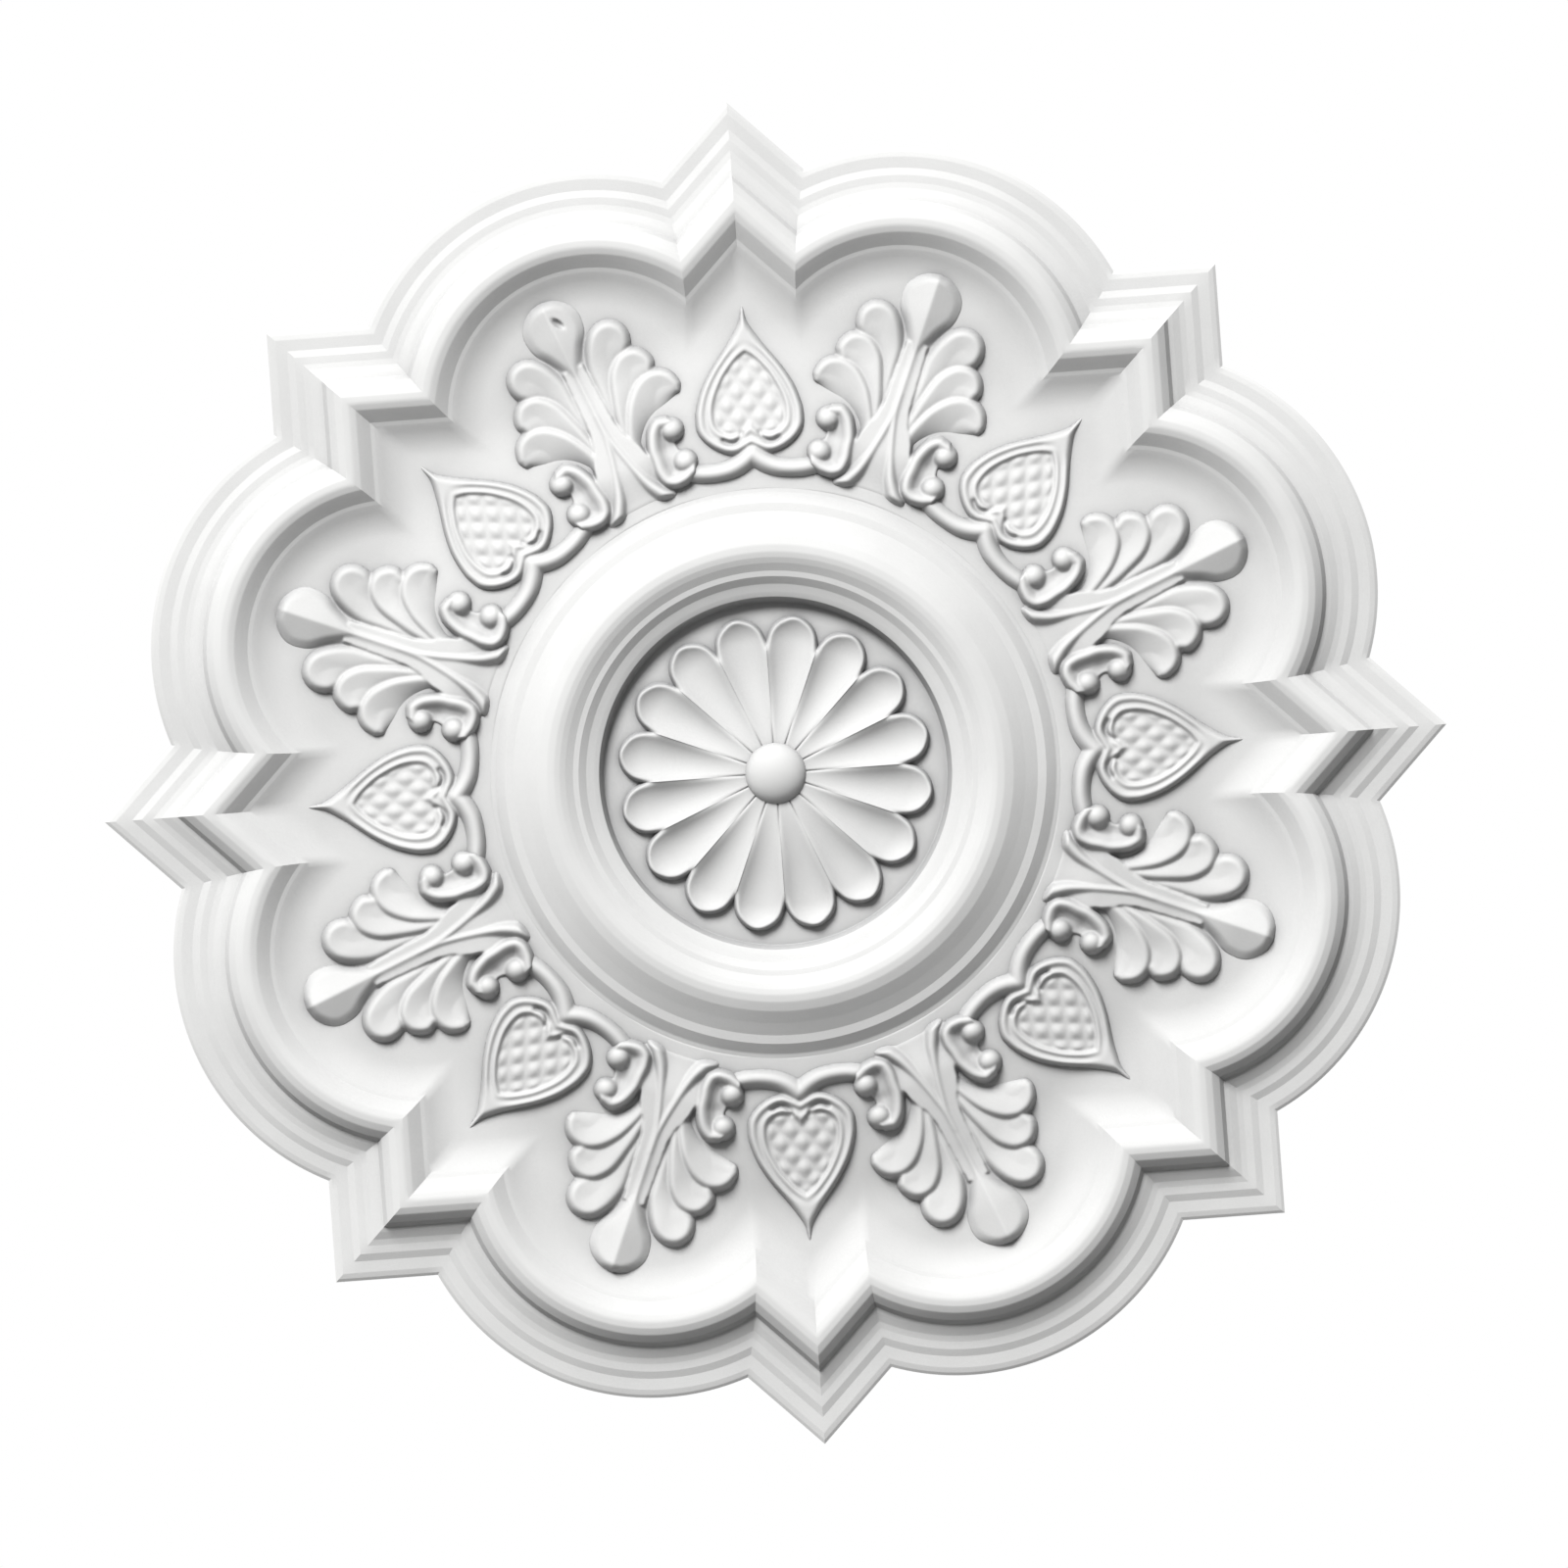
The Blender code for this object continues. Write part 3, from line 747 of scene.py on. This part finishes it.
def petal_patch():
    """Rows of points over one petal: a raised rim round a scoop that is deepest near its round end."""
    floor = rosette_floor()
    half_angle = math.pi / PETALS
    centre = PETAL_REACH - PETAL_ROUND
    patch = []
    for i in range(PETAL_ROWS + 1):
        u = PETAL_START + (PETAL_REACH - PETAL_START) * math.sin(i / PETAL_ROWS * math.pi / 2)
        straight = max(u, 6.0) * math.tan(half_angle) + 0.03
        if u > centre:
            width = min(straight, math.sqrt(max(PETAL_ROUND**2 - (u - centre) ** 2, 0.0)))
        else:
            width = min(straight, PETAL_ROUND)
        reach = PETAL_ROUND if u > centre else width
        rim_width = min(PETAL_RIM, 0.28 * width + 0.2)
        valley = VALLEY_SHARE + (1 - VALLEY_SHARE) * float(ease(u, *VALLEY_GROWS))
        line = []
        for j in range(PETAL_COLUMNS + 1):
            v = width * math.sin((2 * j / PETAL_COLUMNS - 1) * math.pi / 2)
            out = math.hypot(max(u - centre, 0.0), v)
            from_edge = max(reach - out, 0.0)
            rim = 1 - (1 - min(from_edge / rim_width, 1.0)) ** 2
            hollow = max(1.0 - (out / reach) ** 2, 0.0) ** 0.8 * float(ease(u, *SCOOP_GROWS))
            height = PETAL_RISE * (1 - valley * (1 - rim)) - PETAL_SCOOP * hollow
            line.append((u, v, floor + height))
        patch.append(line)
    return patch


def rosette():
    """Sixteen petals, each a closed patch with a skirt into the body, and a low round boss."""
    patch = petal_patch()
    columns = len(patch[0])
    points = [p for line in patch for p in line]
    faces = []
    for i in range(len(patch) - 1):
        for j in range(columns - 1):
            a = i * columns + j
            faces.append((a, a + columns, a + columns + 1, a + 1))
    mesh = bpy.data.meshes.new("petal")
    mesh.from_pydata(points, [], faces)
    mesh.update()
    close_below(mesh, SKIRT_LEVEL)
    copies("petal", mesh, math.pi / PETALS, PETALS)

    bpy.ops.mesh.primitive_uv_sphere_add(segments=64, ring_count=32, radius=1.0, location=(0, 0, 0))
    ball = bpy.context.object
    mesh = ball.data.copy()
    bpy.data.objects.remove(ball)
    flattened = Matrix.Diagonal((BOSS_RADIUS, BOSS_RADIUS, BOSS_HALF_HEIGHT, 1.0))
    mesh.transform(Matrix.Translation((0, 0, rosette_floor() + BOSS_LIFT)) @ flattened)
    stand_up("boss", mesh)


def add_node(tree, kind, links=(), **settings):
    """Adds a shader node with its settings, and links given sockets into its inputs."""
    node = tree.nodes.new(kind)
    for name, value in settings.items():
        setattr(node, name, value)
    for socket, source in links:
        if hasattr(source, "is_output"):
            tree.links.new(source, node.inputs[socket])
        else:
            node.inputs[socket].default_value = source
    return node


def srgb(text):
    """Linear colour of an sRGB hex code."""
    parts = [int(text[i : i + 2], 16) / 255 for i in (1, 3, 5)]
    linear = [c / 12.92 if c <= 0.04045 else ((c + 0.055) / 1.055) ** 2.4 for c in parts]
    return (*linear, 1.0)


def cast_gypsum():
    """Bright neutral white, matt, faintly cloudy, with fine tooth and pores, and with painted shade greying
    it in its hollows.
    """
    material = bpy.data.materials.new("cast_gypsum_plaster")
    material.use_nodes = True
    tree = material.node_tree
    shader = tree.nodes["Principled BSDF"]
    place = add_node(tree, "ShaderNodeTexCoord").outputs["Object"]
    cloud = add_node(tree, "ShaderNodeTexNoise", [("Vector", place), ("Scale", 22.0), ("Detail", 4.0)])
    tone = add_node(tree, "ShaderNodeValToRGB", [("Fac", cloud.outputs["Fac"])])
    tone.color_ramp.elements[0].position = 0.35
    tone.color_ramp.elements[0].color = srgb("#E5E5E4")
    tone.color_ramp.elements[1].position = 0.65
    tone.color_ramp.elements[1].color = srgb("#EAEAE9")
    # Painted shade: ambient occlusion mixes the colour towards a mid grey (#868687) in creases and recesses,
    # where shade falls, on top of the lights' own shading
    hollow = add_node(tree, "ShaderNodeAmbientOcclusion", [("Distance", 0.09)], samples=3)
    open_share = hollow.outputs["AO"]
    painted_shade_mix = add_node(tree, "ShaderNodeMapRange", [("Value", open_share), ("From Min", 0.55)])
    shade = add_node(tree, "ShaderNodeMix", [("Factor", painted_shade_mix.outputs["Result"])], data_type="RGBA")
    shade.inputs["A"].default_value = srgb("#868687")
    tree.links.new(tone.outputs["Color"], shade.inputs["B"])
    tree.links.new(shade.outputs["Result"], shader.inputs["Base Color"])
    tooth = add_node(tree, "ShaderNodeTexNoise", [("Vector", place), ("Scale", 900.0), ("Detail", 3.0)])
    swell = add_node(tree, "ShaderNodeTexNoise", [("Vector", place), ("Scale", 60.0), ("Detail", 2.0)])
    low = add_node(tree, "ShaderNodeBump", [("Height", swell.outputs["Fac"]), ("Strength", 0.25)])
    low.inputs["Distance"].default_value = 0.0004
    fine = add_node(tree, "ShaderNodeBump", [("Height", tooth.outputs["Fac"]), ("Strength", 0.4)])
    fine.inputs["Distance"].default_value = 0.00005
    tree.links.new(low.outputs["Normal"], fine.inputs["Normal"])
    tree.links.new(fine.outputs["Normal"], shader.inputs["Normal"])
    shader.inputs["Roughness"].default_value = 0.7
    shader.inputs["Specular IOR Level"].default_value = 0.3
    return material


PLASTER = cast_gypsum()

# The photograph's frame: 1600 pixels across, 0.481 mm each, with the rose a little up and left of the middle
PIXEL = 0.481 * MM
ROLL = math.radians(4.2)
CAMERA_DISTANCE = 10.0
FRAME_WIDTH = 1600 * PIXEL
# Bearing of the key light: 113 degrees in the picture, less the roll
LIGHT_AZIMUTH = math.radians(113) - ROLL
KEY_ELEVATION = math.radians(36.0)
KEY_POWER = 4.5
KEY_ANGLE = 0.4
AMBIENT = 0.125
BACK_FILL_POWER = 1.6
BACK_FILL_ANGLE = 0.6
FLOOR_LEVEL = -0.47
FLOOR_SIZE = 2.0
# How far the picture's middle lies right of the rose's centre and below it, in pixels
PICTURE_SHIFT = (8.5, 11.0)


def camera():
    lens = bpy.data.cameras.new("camera")
    lens.lens = lens.sensor_width * CAMERA_DISTANCE / FRAME_WIDTH
    lens.clip_end = 100
    eye = bpy.data.objects.new("camera", lens)
    bpy.context.scene.collection.objects.link(eye)
    turn = Matrix.Rotation(math.pi / 2, 3, "X") @ Matrix.Rotation(-ROLL, 3, "Z")
    right, up, back = turn.col
    spot = right * PICTURE_SHIFT[0] * PIXEL - up * PICTURE_SHIFT[1] * PIXEL + back * CAMERA_DISTANCE
    eye.matrix_world = Matrix.Translation(spot) @ turn.to_4x4()
    bpy.context.scene.camera = eye


def floor():
    """A plain pale floor below the photograph's frame, which throws no light back on the rose."""
    bpy.ops.mesh.primitive_plane_add(size=FLOOR_SIZE, location=(0.0, -0.1, FLOOR_LEVEL))
    ground = bpy.context.object
    ground.name = "floor"
    pale = bpy.data.materials.new("pale_floor")
    pale.use_nodes = True
    shader = pale.node_tree.nodes["Principled BSDF"]
    shader.inputs["Base Color"].default_value = srgb("#EFEFEE")
    shader.inputs["Roughness"].default_value = 0.9
    ground.data.materials.append(pale)
    ground.visible_diffuse = False


def sun(name, towards, power, angle):
    lamp = bpy.data.lights.new(name, "SUN")
    lamp.energy = power
    lamp.angle = angle
    holder = bpy.data.objects.new(name, lamp)
    bpy.context.scene.collection.objects.link(holder)
    holder.rotation_euler = towards.to_track_quat("Z", "Y").to_euler()


def light():
    """Soft key from the upper left, a weak one from behind for the back, and a dim surround seen as white."""
    flat = math.cos(KEY_ELEVATION)
    key = Vector((math.cos(LIGHT_AZIMUTH) * flat, -math.sin(KEY_ELEVATION), math.sin(LIGHT_AZIMUTH) * flat))
    sun("key", key, KEY_POWER, KEY_ANGLE)
    sun("back_fill", Vector((-0.3, 1.0, 0.6)), BACK_FILL_POWER, BACK_FILL_ANGLE)
    world = bpy.data.worlds.new("studio")
    bpy.context.scene.world = world
    world.use_nodes = True
    tree = world.node_tree
    tree.nodes.clear()
    rays = add_node(tree, "ShaderNodeLightPath").outputs["Is Camera Ray"]
    dim = add_node(tree, "ShaderNodeBackground", [("Color", (1, 1, 1, 1)), ("Strength", AMBIENT)])
    white = add_node(tree, "ShaderNodeBackground", [("Color", (1, 1, 1, 1)), ("Strength", 1.0)])
    surround = add_node(tree, "ShaderNodeMixShader", [(0, rays), (1, dim.outputs[0]), (2, white.outputs[0])])
    add_node(tree, "ShaderNodeOutputWorld", [("Surface", surround.outputs[0])])
    bpy.context.scene.view_settings.view_transform = "Standard"


outer_moulding()
round_moulding()
leaves()
hearts()
rosette()
floor()
camera()
light()
